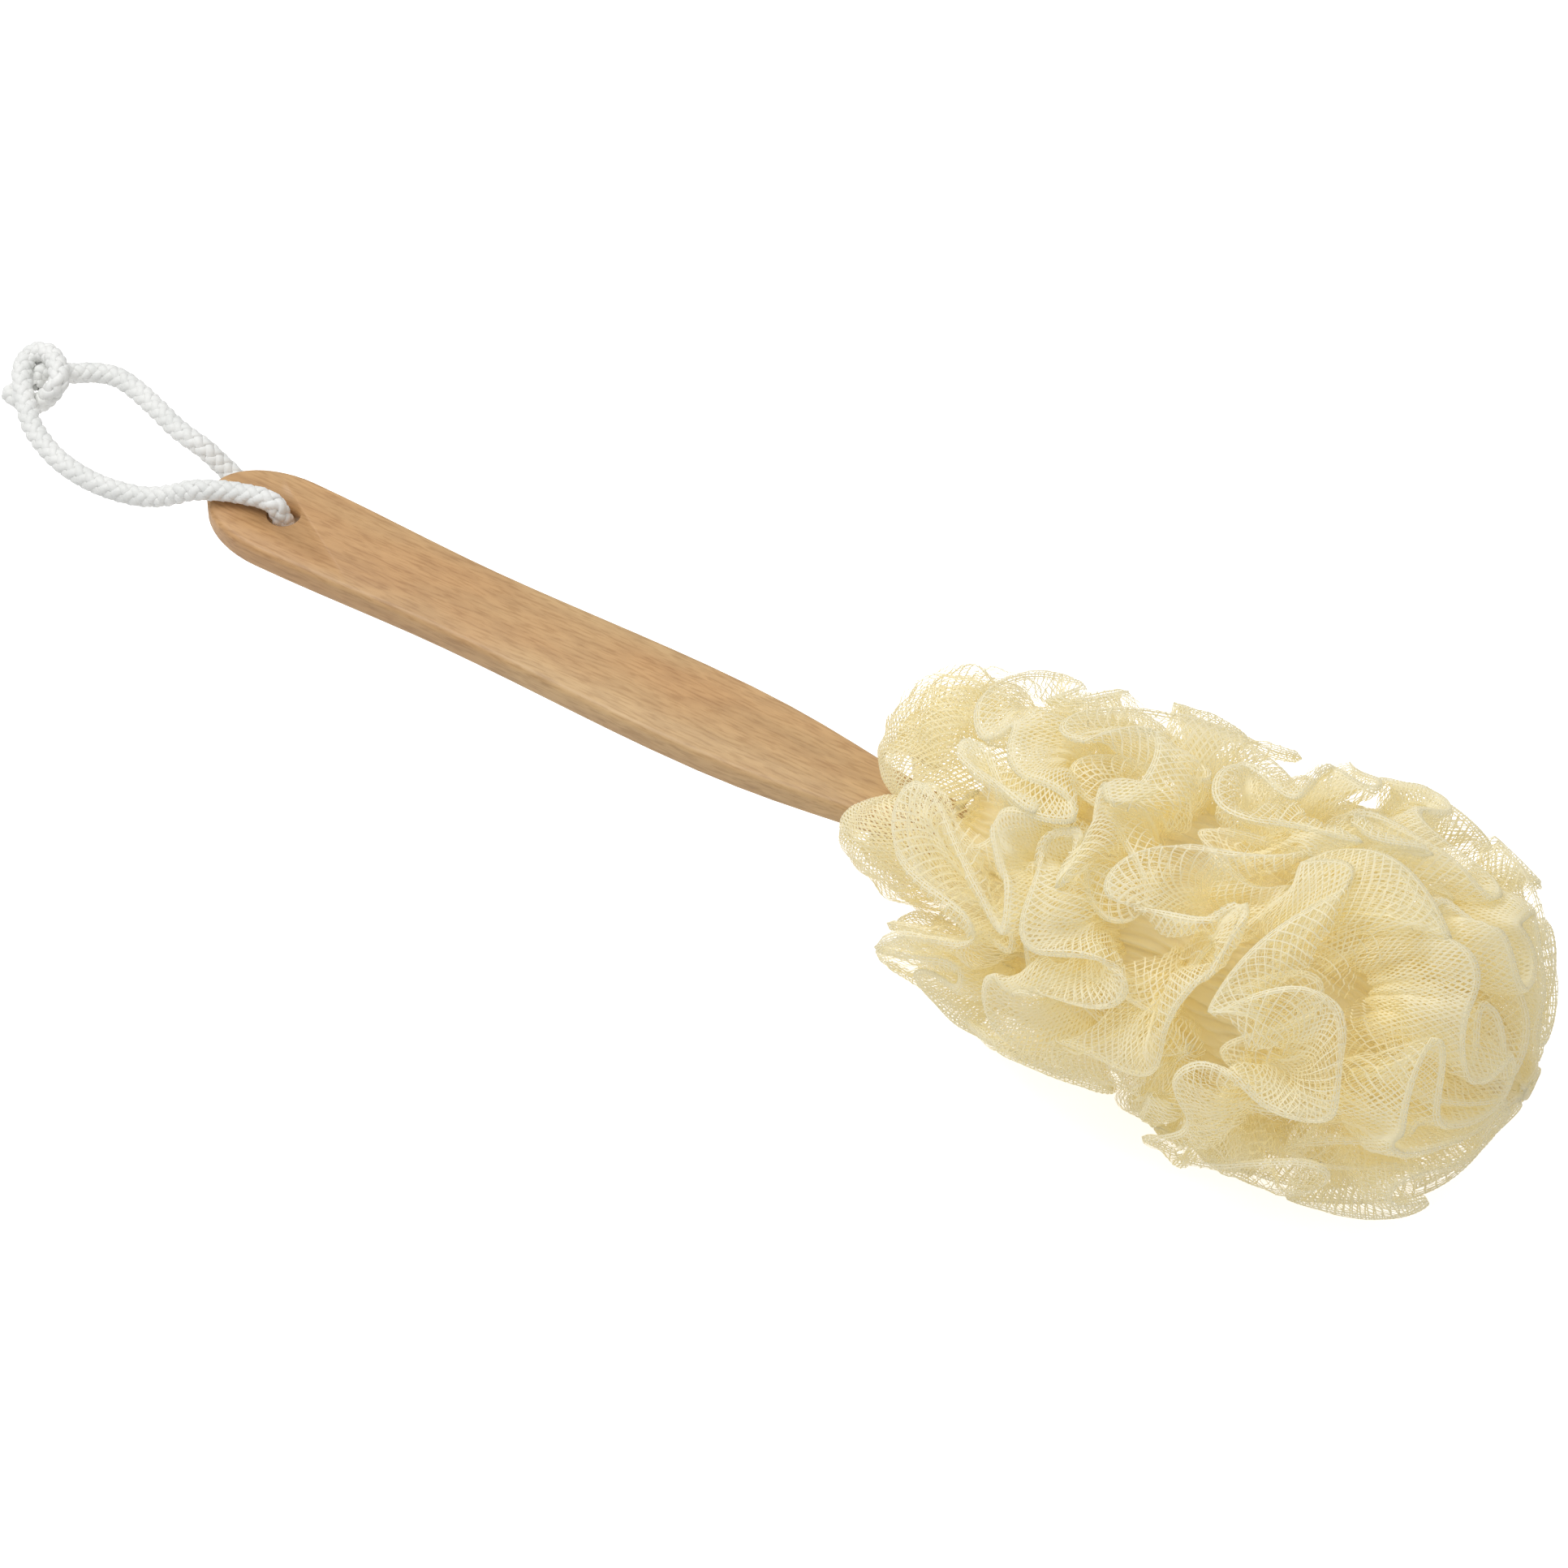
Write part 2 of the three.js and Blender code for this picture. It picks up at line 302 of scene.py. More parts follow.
def cord_material():
    """White polypropylene yarn: fine fibres along the cord and a soft sheen."""
    n = Nodes("white_yarn")
    place = n.add("TexCoord").outputs["Object"]
    fibres = n.add("TexNoise", Vector=place, Scale=1400.0, Detail=4.0).outputs["Fac"]
    soil = n.add("TexNoise", Vector=place, Scale=90.0, Detail=2.0).outputs["Fac"]
    colour = n.ramp(soil, [(0.3, (0.76, 0.77, 0.75)), (0.7, (0.86, 0.86, 0.84))])
    yarn = n.add("BsdfPrincipled", Base_Color=colour, Roughness=0.55,
                 Normal=n.bump(fibres, 0.35, 0.0002))
    yarn.inputs["Sheen Weight"].default_value = 0.25
    yarn.inputs["Subsurface Weight"].default_value = 0.12
    yarn.inputs["Subsurface Radius"].default_value = (0.002, 0.002, 0.002)
    return n.finish(yarn.outputs[0])


def string_material():
    """Off-white twisted string, painted darker in the grooves of its twist as painted shade."""
    n = Nodes("tie_string")
    place = n.add("TexCoord").outputs["Object"]
    wave = n.add("TexWave", {"bands_direction": "DIAGONAL"}, Vector=place, Scale=260.0, Distortion=1.5)
    twist = wave.outputs["Fac"]
    # Painted shade: the colour is darker where the twist's bump sinks into a groove.
    colour = n.ramp(twist, [(0.0, (0.70, 0.66, 0.52)), (1.0, (0.88, 0.85, 0.72))])
    string = n.add("BsdfPrincipled", Base_Color=colour, Roughness=0.8, Normal=n.bump(twist, 0.6, 0.0003))
    return n.finish(string.outputs[0])


def floor_material():
    """Matt pale paper, which glows for the camera only and so lends the object no light."""
    n = Nodes("pale_floor")
    place = n.add("TexCoord").outputs["Object"]
    tone = n.add("TexNoise", Vector=place, Scale=3.0, Detail=2.0).outputs["Fac"]
    colour = n.ramp(tone, [(0.3, (0.90, 0.90, 0.90)), (0.7, (0.92, 0.92, 0.92))])
    floor = n.add("BsdfPrincipled", Base_Color=colour, Roughness=0.9)
    floor.inputs["Emission Color"].default_value = (1, 1, 1, 1)
    seen = n.add("LightPath").outputs["Is Camera Ray"]
    glow = n.math("MULTIPLY", seen, FLOOR_GLOW)
    n.feed(floor, "Emission Strength", glow)
    n.material.cycles.emission_sampling = "NONE"
    return n.finish(floor.outputs[0])


NETTING = netting_material()
WOOD = wood_material()
CORD = cord_material()
STRING = string_material()

# ---- The head's outside, from the five ruffle boxes ----

boxes = [box_mm(f"netting_ruffle_{k + 1}") for k in range(RUFFLES)]
HEAD_START = boxes[0][0][0]
HEAD_END = boxes[-1][1][0]
AXIS_Z = box_mm("handle")[1][2] / 2
CENTRE_Y = float(np.mean([(low[1] + high[1]) / 2 for low, high in boxes]))
CENTRE_Z = float(np.mean([(low[2] + high[2]) / 2 for low, high in boxes]))
RIM_FILL = 0.955  # of a ruffle box's half width that its rims reach on average
RADII = [RIM_FILL * float((high[1:] - low[1:]).mean()) / 2 for low, high in boxes]
PROFILE_SPACING = 0.6
GATHER_RADIUS = 11.0  # where the netting is tied round the tang
CORE_START = HEAD_START + 22  # X of the first place where netting leaves the tang
CORE_END = HEAD_END - 24  # and of the last


def profile_places():
    """The head's outline from the neck's pole to the far pole, as (X, radius)."""
    first, last = RADII[0], RADII[-1]
    neck = [(HEAD_START + 1, 9), (HEAD_START - 1.5, 0.42 * first), (HEAD_START, 0.7 * first),
            (HEAD_START + 7, 0.92 * first)]
    middle = [((low[0] + high[0]) / 2, r) for (low, high), r in zip(boxes, RADII)]
    far = [(HEAD_END - 8, 0.8 * last), (HEAD_END - 1, 0.5 * last), (HEAD_END + 1, 8)]
    return neck + middle + far


PROFILE = smooth_route(profile_places(), PROFILE_SPACING)
PLACE = distance_along(PROFILE)
PROFILE_LENGTH = PLACE[-1]


def outline_x(t):
    """X of the outline at places t, measured along it from the neck's pole."""
    return np.interp(t, PLACE, PROFILE[:, 0])


def outline_radius(t):
    """Radius of the outline at places t."""
    return np.interp(t, PLACE, PROFILE[:, 1])


# ---- Growing the rims: closed curves on the outside that lengthen until they fill it ----

RIM_POINTS = 420  # of each rim
GROWTH_STEPS = 420
KEPT_STAGES = 20
GROWN_AT = 0.93  # share of the steps after which the rims stop lengthening
LENGTH_RATIO = 3.6  # of a rim's final length to the head's mean girth
REACH = 11.0  # nearer than this, two rims push each other away
SEARCH_MARGIN = 3.0  # beyond the reach, for pairs that come near before the next search
SEARCH_EVERY = 5  # steps from one search for near pairs to the next
PUSH = 0.08  # share of a pair's overlap that one push undoes on each side
PUSH_LIMIT = 0.7  # longest move of one push
ROUNDS = 2  # of pushing, smoothing and lengthening in a step
BEND_PASSES = 14  # of smoothing in a round
BEND_SHARE = 0.25  # of the change in bend that a pass takes away
LENGTH_PASSES = 3  # in a round
PULL = 0.225  # share of a span's wrong length by which one pass moves each of its ends
NECK_MARGIN = 40.0  # outline length before the first rim
FAR_MARGIN = 9.0  # outline length beyond the last rim
WAVES = range(2, 9)  # in the start rings, by their number in a turn
WAVE_HEIGHT = 1.2
UNEVENNESS = 0.13  # of growth along a rim, for each wave


def half_bend(q, turns):
    """How far each point of closed curves lies from the middle of its neighbours."""
    after, before = np.roll(q, -1, 1).copy(), np.roll(q, 1, 1).copy()
    if turns:
        after[:, -1] += TAU
        before[:, 0] -= TAU
    return 0.5 * (after + before) - q


def start_rims(rng):
    """Wavy rings with equal parts of the head's area between them, and how much each part grows."""
    along = np.linspace(NECK_MARGIN, PROFILE_LENGTH - FAR_MARGIN, 400)
    area = np.cumsum(outline_radius(along))
    ring = np.interp((np.arange(RUFFLES) + 0.5) / RUFFLES, area / area[-1], along)
    theta = np.tile(np.arange(RIM_POINTS) / RIM_POINTS * TAU, (RUFFLES, 1))
    t = np.repeat(ring[:, None], RIM_POINTS, 1)
    local = np.ones_like(t)
    for k in range(RUFFLES):
        for wave in WAVES:
            t[k] += WAVE_HEIGHT * rng.normal() * np.cos(wave * theta[k] + rng.uniform(0, TAU))
            local[k] += UNEVENNESS * rng.normal() * np.cos(wave * theta[k] + rng.uniform(0, TAU))
    local = np.clip(local, 0.5, 1.6)
    return theta, t, local / local.mean(1, keepdims=True), ring


def near_pairs(theta, t, skip):
    """Pairs of rim points that may push each other away, without near neighbours on one rim."""
    curve = np.repeat(np.arange(theta.shape[0]), theta.shape[1])
    number = np.tile(np.arange(theta.shape[1]), theta.shape[0])
    a, b, r = theta.ravel(), t.ravel(), outline_radius(t).ravel()
    turn = (a[None] - a[:, None] + math.pi) % TAU - math.pi
    across = turn * np.minimum(r[None], r[:, None])
    close = across**2 + (b[None] - b[:, None]) ** 2 < (REACH + SEARCH_MARGIN) ** 2
    apart = np.abs(number[None] - number[:, None])
    apart = np.minimum(apart, theta.shape[1] - apart)
    close &= ~((curve[None] == curve[:, None]) & (apart < skip))
    return np.nonzero(np.triu(close, 1))


def push_apart(theta, t, pairs):
    """Rim points moved away from those that are nearer than the reach."""
    first, second = pairs
    r = outline_radius(t)
    a, b, flat = theta.ravel(), t.ravel(), r.ravel()
    turn = (a[second] - a[first] + math.pi) % TAU - math.pi
    mean_r = 0.5 * (flat[first] + flat[second])
    dx, dy = turn * mean_r, b[second] - b[first]
    gap = np.sqrt(dx * dx + dy * dy) + 1e-6
    weight = np.clip(REACH - gap, 0, None) / gap * PUSH

    def total(push):
        """Every point's sum of pushes, away from the other point of each pair."""
        there, back = np.bincount(second, push, len(a)), np.bincount(first, push, len(a))
        return (there - back).reshape(t.shape)

    fx, fy = total(weight * dx / mean_r), total(weight * dy)
    limit = np.minimum(1, PUSH_LIMIT / (np.hypot(fx * r, fy) + 1e-9))
    return theta + fx * limit, t + fy * limit


def keep_lengths(theta, t, rest):
    """Rim points moved along their rim, so that the spans between them near their rest length."""
    r = outline_radius(t)
    after = np.roll(theta, -1, 1).copy()
    after[:, -1] += TAU
    mean_r = 0.5 * (r + np.roll(r, -1, 1))
    dx, dy = (after - theta) * mean_r, np.roll(t, -1, 1) - t
    length = np.sqrt(dx * dx + dy * dy) + 1e-9
    pull = (length - rest) / length * PULL
    cx, cy = pull * dx / mean_r, pull * dy
    return theta + cx - np.roll(cx, 1, 1), t + cy - np.roll(cy, 1, 1)


def grow_rims(seed):
    """Stages of growth, each as (angle, place) of every rim point, from plain rings to full rims."""
    theta, t, local, ring = start_rims(np.random.default_rng(seed))
    low, high = NECK_MARGIN, PROFILE_LENGTH - FAR_MARGIN
    rest_start = (TAU * outline_radius(ring) / RIM_POINTS)[:, None]
    rest_end = TAU * np.mean(RADII) / RIM_POINTS * LENGTH_RATIO * local
    steps = GROWTH_STEPS
    every = max(1, steps // KEPT_STAGES)
    stages = [(theta.copy(), t.copy())]
    for step in range(steps):
        share = min(1, (step + 1) / (steps * GROWN_AT))
        rest = rest_start + (rest_end - rest_start) * share
        if step % SEARCH_EVERY == 0:
            pairs = near_pairs(theta, t, math.ceil(1.5 * REACH / rest.mean()))
        for _ in range(ROUNDS):
            theta, t = push_apart(theta, t, pairs)
            for _ in range(BEND_PASSES):
                theta = theta - BEND_SHARE * half_bend(half_bend(theta, True), False)
                t = t - BEND_SHARE * half_bend(half_bend(t, False), False)
            for _ in range(LENGTH_PASSES):
                theta, t = keep_lengths(theta, t, rest)
            t = np.where(t < low, low + (t - low) / 2, t)
            t = np.where(t > high, high + (t - high) / 2, t)
        if (step + 1) % every == 0:
            stages.append((theta.copy(), t.copy()))
    return stages


# ---- Netting sheets ----

STRAND_PITCH = 0.85  # between strands along a rim
CELL_LENGTH = 2.7
STRAND_WIDTH = 0.39
RIM_THREADS = 6  # threads that run along a rim and thicken its fold
RIM_THREAD_GAP = 0.62
RIM_THREAD_WIDTH = 0.34
RIM_PINCH = 0.3  # of a strand's swing at the rim
SWING_SPREAD = 0.06  # of the strands' swings
SHEET_DEPTH = 29.0  # how far below its rim a sheet is netted
FOLD_RADIUS = 1.5  # of the fold at a rim
LAYER_GAP = 1.0  # half the gap between a sheet's two layers near the rim
PUFF = 0.9  # how much wider the gap becomes, on average and as its spread
MOST_PUFF = 3.0
PUFF_DEPTH = 10.0  # below the rim, where the gap is at its widest
CREASE_HEIGHT, CREASE_DEPTH = 0.35, 6.0  # of small creases, and below the rim where they are full
PLEAT_HEIGHT = 0.75  # of the pleats where the sheets are gathered
PLEAT_START, PLEAT_DEPTH = 5.0, 14.0  # below the rim, and the way over which they rise
PLEAT_STRANDS = 9  # strands over which a pleat is rounded
SHEET_STEPS = 30  # places at which a sheet's course is worked out
INNERMOST = 0.2  # share of the way out where the sheets start
BULGE = 1.7  # how early on their way out the sheets spread sideways
FLARE = 1.4  # how late they spread along the head

# Random fields, each with its seed and wavelength
drift_around = noise_field(11, 95)
drift_along = noise_field(12, 95)
curl_around = noise_field(17, 48)
curl_along = noise_field(18, 48)
rim_height = noise_field(13, 42)
puff_front = noise_field(14, 17)
puff_back = noise_field(15, 17)
wrinkle = noise_field(16, 8)

DRIFT = 10.0  # how far whole sheets lean over sideways
CURL = 5.0  # how far their last part curls over as well
LEAST_TURN_RADIUS = 20.0  # smallest radius by which a lean is made into an angle
ROUNDING = 23  # strands over which a course is rounded off
RIM_SWELL = 0.03  # spread of the rims' heights
NECK_LEAN = 32.0  # outline place before which no sheet leans towards the neck
UNDER_TURN = 1.3  # angle from which the lower ruffles run the other way round
UNDER_HEIGHT = 0.83  # of the lower ruffles, as a share of the main ones
UNDER_PITCH = 1.45  # between their strands


def head_point(theta, t, out, swell=1.0):
    """Netting at angle theta and outline place t, a share `out` of the way from tang to rim."""
    direction = np.stack([np.zeros_like(theta), np.cos(theta), np.sin(theta)], -1)
    spot = direction * outline_radius(t)[..., None]
    spot[..., 0] = outline_x(t)
    lean, curl = DRIFT * out**2, CURL * out**5
    around = drift_around(spot) * lean + curl_around(spot) * curl
    along = drift_along(spot) * lean + curl_along(spot) * curl
    turned = theta + around / np.maximum(outline_radius(t), LEAST_TURN_RADIUS)
    along = np.where(along < 0, along * np.clip((t - NECK_LEAN) / NECK_LEAN, 0, 1), along)
    moved = np.clip(t + along, 1, PROFILE_LENGTH - 1)
    rim_radius = outline_radius(moved) * swell * (1 + RIM_SWELL * rim_height(spot) * out)
    rise = 1 - (1 - out) ** BULGE
    core_x = CORE_START + (CORE_END - CORE_START) * t / PROFILE_LENGTH
    x = core_x + (outline_x(moved) - core_x) * out**FLARE
    r = GATHER_RADIUS + (rim_radius - GATHER_RADIUS) * rise
    y = CENTRE_Y * rise + r * np.cos(turned)
    z = AXIS_Z + (CENTRE_Z - AXIS_Z) * rise + r * np.sin(turned)
    return np.stack([x, y, z], -1)


def closed_curve_at(values, place, turns):
    """Values of a closed curve at fractional point numbers, smoothly interpolated."""
    count = len(values)
    base = np.floor(place).astype(int)
    s = place - base
    around = TAU if turns else 0.0
    a, b, c, d = (values[(base + k) % count] + around * ((base + k) // count) for k in (-1, 0, 1, 2))
    return spline(a, b, c, d, s)


def sheet_course(stages, ruffle, strands, under=False):
    """Each strand's course from its rim inwards, as points of shape (strand, step, 3).

    The lower ruffles under the main ones follow the same stages turned the other way round."""
    place = np.arange(strands) / strands * len(stages[0][0][ruffle])
    theta = np.stack([closed_curve_at(a[ruffle], place, True) for a, _ in stages], 1)
    t = np.stack([closed_curve_at(b[ruffle], place, False) for _, b in stages], 1)
    out = np.linspace(1, INNERMOST, SHEET_STEPS)
    stage = (out - INNERMOST) / (1 - INNERMOST) * (len(stages) - 1)
    low = np.minimum(np.floor(stage).astype(int), len(stages) - 2)
    share = stage - low
    theta = theta[:, low] * (1 - share) + theta[:, low + 1] * share
    t = t[:, low] * (1 - share) + t[:, low + 1] * share
    if under:
        theta = UNDER_TURN - theta
    swell = UNDER_HEIGHT if under else 1.0
    course = head_point(theta, t, np.broadcast_to(out, theta.shape), swell)
    window = np.hanning(ROUNDING)
    turns = range(-(ROUNDING // 2), ROUNDING // 2 + 1)
    return sum(w * np.roll(course, turn, 0) for w, turn in zip(window, turns)) / window.sum()


def even_levels(course, step, levels):
    """The same courses at even distances below the rim."""
    length = np.linalg.norm(np.diff(course, axis=1), axis=2)
    length = np.concatenate([np.zeros((len(course), 1)), np.cumsum(length, 1)], 1)
    at = np.arange(levels) * step
    made = np.empty((len(course), levels, 3))
    for strand, (points, along) in enumerate(zip(course, length)):
        for axis in range(3):
            made[strand, :, axis] = np.interp(at, along, points[:, axis])
    return made


def netting_strands(course, seed, sheet_depth=SHEET_DEPTH):
    """Points, faces and depths of a folded sheet of zigzag strands that follow the courses."""
    rng = np.random.default_rng(seed)
    strands = len(course)
    step = CELL_LENGTH / 2
    levels = int(sheet_depth / step) + 1
    sheet = even_levels(course, step, levels)
    pitch = (np.roll(sheet, -1, 0) - np.roll(sheet, 1, 0)) / 2
    down = np.gradient(sheet, axis=1)
    side = unit(pitch)
    normal = unit(np.cross(side, down))
    depth = np.arange(levels) * step
    fold = np.sqrt(1 - (1 - np.clip(depth / FOLD_RADIUS, 0, 1)) ** 2)
    three_turns = np.tile(rng.normal(size=strands), 3)
    pleat = np.convolve(three_turns, np.hanning(PLEAT_STRANDS), "same")[strands:2 * strands]
    pleat = pleat[:, None] / pleat.std() * np.clip((depth - PLEAT_START) / PLEAT_DEPTH, 0, 1) * PLEAT_HEIGHT
    crease = wrinkle(sheet) * CREASE_HEIGHT * np.clip(depth / CREASE_DEPTH, 0, 1)
    room = np.clip(depth / PUFF_DEPTH, 0, 1)
    front = fold * (LAYER_GAP + room * np.clip(PUFF + PUFF * puff_front(sheet), 0, MOST_PUFF))
    back = fold * (LAYER_GAP + room * np.clip(PUFF + PUFF * puff_back(sheet), 0, MOST_PUFF))
    shift = (crease + pleat)[..., None] * normal
    front_layer = sheet + shift + front[..., None] * normal
    back_layer = sheet + shift - back[..., None] * normal
    rows = np.concatenate([front_layer[:, :0:-1], back_layer], 1)
    pitch_rows = np.concatenate([pitch[:, :0:-1], pitch], 1)
    side_rows = np.concatenate([side[:, :0:-1], side], 1)
    depth_rows = np.concatenate([depth[:0:-1], depth])
    number, level = np.meshgrid(np.arange(strands), np.arange(rows.shape[1]), indexing="ij")
    swing = np.where((number + level) % 2, 0.5, -0.5)[..., None]
    swing[:, levels - 1] *= RIM_PINCH
    jitter = 1 + SWING_SPREAD * rng.normal(size=swing.shape)
    middle = rows + pitch_rows * swing * jitter
    half = side_rows * (STRAND_WIDTH / 2)
    points = np.stack([middle - half, middle + half], 2)
    columns = rows.shape[1]
    first = (number[:, :-1] * columns + level[:, :-1]).ravel() * 2
    quads = np.stack([first, first + 1, first + 3, first + 2], 1)
    share = np.broadcast_to((depth_rows / SHEET_DEPTH)[None, :, None], points.shape[:3])
    strands_part = (points.reshape(-1, 3), quads, share.ravel())
    return join_parts([strands_part] + rim_threads(rows, levels - 1, step))


def rim_threads(rows, rim, step):
    """Flat threads that run along a rim, side by side over its fold."""
    made = []
    for thread in range(RIM_THREADS):
        place = (thread - (RIM_THREADS - 1) / 2) * RIM_THREAD_GAP / step
        edges = []
        for edge in (-0.5, 0.5):
            at = place + edge * RIM_THREAD_WIDTH / step
            whole = int(math.floor(at))
            share = at - whole
            edges.append(rows[:, rim + whole] * (1 - share) + rows[:, rim + whole + 1] * share)
        points = np.stack(edges, 1).reshape(-1, 3)
        quads = grid_quads(len(rows), 2, wrap_rows=True)
        made.append((points, quads, np.zeros(len(points))))
    return made


def rim_length(stage, ruffle):
    """Length of a ruffle's rim at a stage of growth."""
    theta, t = stage[0][ruffle], stage[1][ruffle]
    after = np.roll(theta, -1).copy()
    after[-1] += TAU
    return float(np.hypot((after - theta) * outline_radius(t), np.roll(t, -1) - t).sum())


def even_count(length, pitch=STRAND_PITCH):
    """An even number of strands, so that the zigzags meet all the way round."""
    return 2 * round(length / pitch / 2)


COLLAR_LOBES = 4
COLLAR_CREASE = 2.2  # angle of one crease between petals
COLLAR_HIGH = 0.63  # angle at which the collar stands widest
COLLAR_LENGTH = 300.0  # of netting round the petals' rims
COLLAR_DEPTH = 52.0
NECK_WIDTH, NECK_HEIGHT = 14.0, 9.5  # half sizes of the opening round the handle
CREASE_X = HEAD_START + 5  # of the rim at the creases
PETAL_REACH = 12.0  # how much further forward the petals' rims lie
PETAL_LIFT = 3.0  # how much further out they lie
PETAL_SHAPE = 0.4  # less than 1 makes wide petals with narrow creases
RIM_FLARE, HIGH_FLARE = 4.0, 22.0  # how steeply the petals rise from the rim, and more on the high side
BODY_RADIUS, HIGH_BODY = 0.82, 0.53  # of the collar further in, as shares of the first ruffle's radius

CORE_ROWS, CORE_COLUMNS = 150, 420
CORE_OUT = 0.31  # share of the way out where the gathered middle's surface lies
CORE_WAVES = (37, 53, 71)  # pleats round the middle
CORE_PLEAT = 0.55  # height of each wave
CORE_DEPTH = 1.1  # the depth that its material reads, just deeper than the ruffles' inner ends
TIP_COVER, TIP_POWER = 17.0, 12  # how far the far end is drawn out over the tang's tip, and how late


def collar_course(strands, seed):
    """The neck's petals: a wide sheet that lies forward over the handle like a creased cone.

    Each strand's course is a Bezier curve from the rim back to the gathering."""
    rng = np.random.default_rng(seed)
    s = (np.arange(strands) / strands * TAU)[:, None]
    uneven = s + 0.12 * np.sin(s + rng.uniform(0, TAU)) + 0.05 * np.sin(3 * s + rng.uniform(0, TAU))
    petal = (0.5 - 0.5 * np.cos(COLLAR_LOBES * (uneven - COLLAR_CREASE))) ** PETAL_SHAPE
    high = 0.5 + 0.5 * np.cos(s - COLLAR_HIGH)
    down = np.linspace(0, 1, SHEET_STEPS)[None]
    rim_x = CREASE_X - PETAL_REACH * petal
    rim_r = 1 / np.hypot(np.cos(s) / NECK_WIDTH, np.sin(s) / NECK_HEIGHT) + PETAL_LIFT * petal
    first_r = rim_r + (RIM_FLARE + HIGH_FLARE * high) * petal
    second_r = (BODY_RADIUS + HIGH_BODY * high) * (0.8 + 0.2 * petal) * RADII[0]
    x = bezier(rim_x, rim_x - 1, CORE_START - 4, CORE_START + 4, down)
    r = bezier(rim_r, first_r, second_r, GATHER_RADIUS + 6, down)
    share = np.clip(r / RADII[0], 0, 1)
    y = CENTRE_Y * share + r * np.cos(s)
    z = AXIS_Z + (CENTRE_Z - AXIS_Z) * share + r * np.sin(s)
    return np.stack([x, y, z], -1)


def core_body(seed):
    """The gathered middle of all ruffles: a body of tight pleats that covers the tang and its tip."""
    places = np.linspace(0.03, 0.99, CORE_ROWS) * PROFILE_LENGTH
    angles = np.arange(CORE_COLUMNS) / CORE_COLUMNS * TAU
    t, theta = np.meshgrid(places, angles, indexing="ij")
    core = head_point(theta, t, np.full(t.shape, CORE_OUT))
    core[..., 0] += TIP_COVER * (t / PROFILE_LENGTH) ** TIP_POWER
    rng = np.random.default_rng(seed)
    pleats = np.zeros_like(theta)
    for wave in CORE_WAVES:
        pleats += np.cos(wave * theta + 3 * np.sin(t / 9 + rng.uniform(0, TAU)))
    centre_line = np.stack(np.broadcast_arrays(core[..., 0], CENTRE_Y * 0.4, AXIS_Z + 2), -1)
    core += unit(core - centre_line) * (CORE_PLEAT * pleats)[..., None]
    core[0] = narrowed(core[0], 0.3)
    core[-1] = narrowed(core[-1], 0.02)
    core[-1, :, 0] += 1
    quads = grid_quads(CORE_ROWS, CORE_COLUMNS, wrap_columns=True)
    return core.reshape(-1, 3), quads, np.full(core.size // 3, CORE_DEPTH)


def join_parts(parts):
    """The points, faces and depths of several parts in one part."""
    points, quads, depths, offset = [], [], [], 0
    for p, q, d in parts:
        points.append(p)
        quads.append(q + offset)
        depths.append(d)
        offset += len(p)
    return np.vstack(points), np.vstack(quads), np.concatenate(depths)


def add_netting(name, parts):
    """A visible piece of netting on the head, from its parts."""
    points, quads, depth = join_parts(parts)
    made = mesh_object(name, points, quads, NETTING, depth)
    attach(made, "scrubber")
    return made


def add_head():
    """Five ruffles, each with a lower one beneath it, the collar and the gathered middle."""
    stages = grow_rims(seed=3)
    for ruffle in range(RUFFLES):
        length = rim_length(stages[-1], ruffle)
        upper = sheet_course(stages, ruffle, even_count(length))
        lower = sheet_course(stages, ruffle, even_count(length, UNDER_PITCH), under=True)
        parts = [netting_strands(upper, seed=31 + ruffle), netting_strands(lower, seed=61 + ruffle)]
        node = f"netting_ruffle_{ruffle + 1}"
        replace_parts(add_netting(f"{node}_netting", parts), node)
    collar = collar_course(even_count(COLLAR_LENGTH), seed=21)
    add_netting("netting_collar", [netting_strands(collar, seed=41, sheet_depth=COLLAR_DEPTH)])
    add_netting("netting_gathered_middle", [core_body(seed=51)])


# ---- Hanging cord ----

CORD_RADIUS = 3.05
YARNS_EACH_WAY = 4
BRAID_LENGTH = 14.0  # of one turn of a yarn
YARN_THICKNESS = 0.76  # half of a yarn's height
YARN_WIDTH = 1.27  # half of its width
WEAVE = 0.32  # how far a yarn rises and dips
YARN_SIDES = 8
YARN_TIP = 0.3  # of a yarn's section at its ends
CORD_STEP = 0.5
CORD_GAP = 0.35  # between the cord and the board's faces

hole = joint_place("cord_swing")
TOP = box_mm("handle")[1][2]
ON_TOP = TOP + CORD_RADIUS + CORD_GAP
UNDER = -CORD_RADIUS - CORD_GAP
IN_HOLE = hole[0] - 1.1  # the cord is pulled towards the handle's tip
RING_SIDE = (-173.4, 11.9, 8)  # the place in the knot where the knot's own piece ends


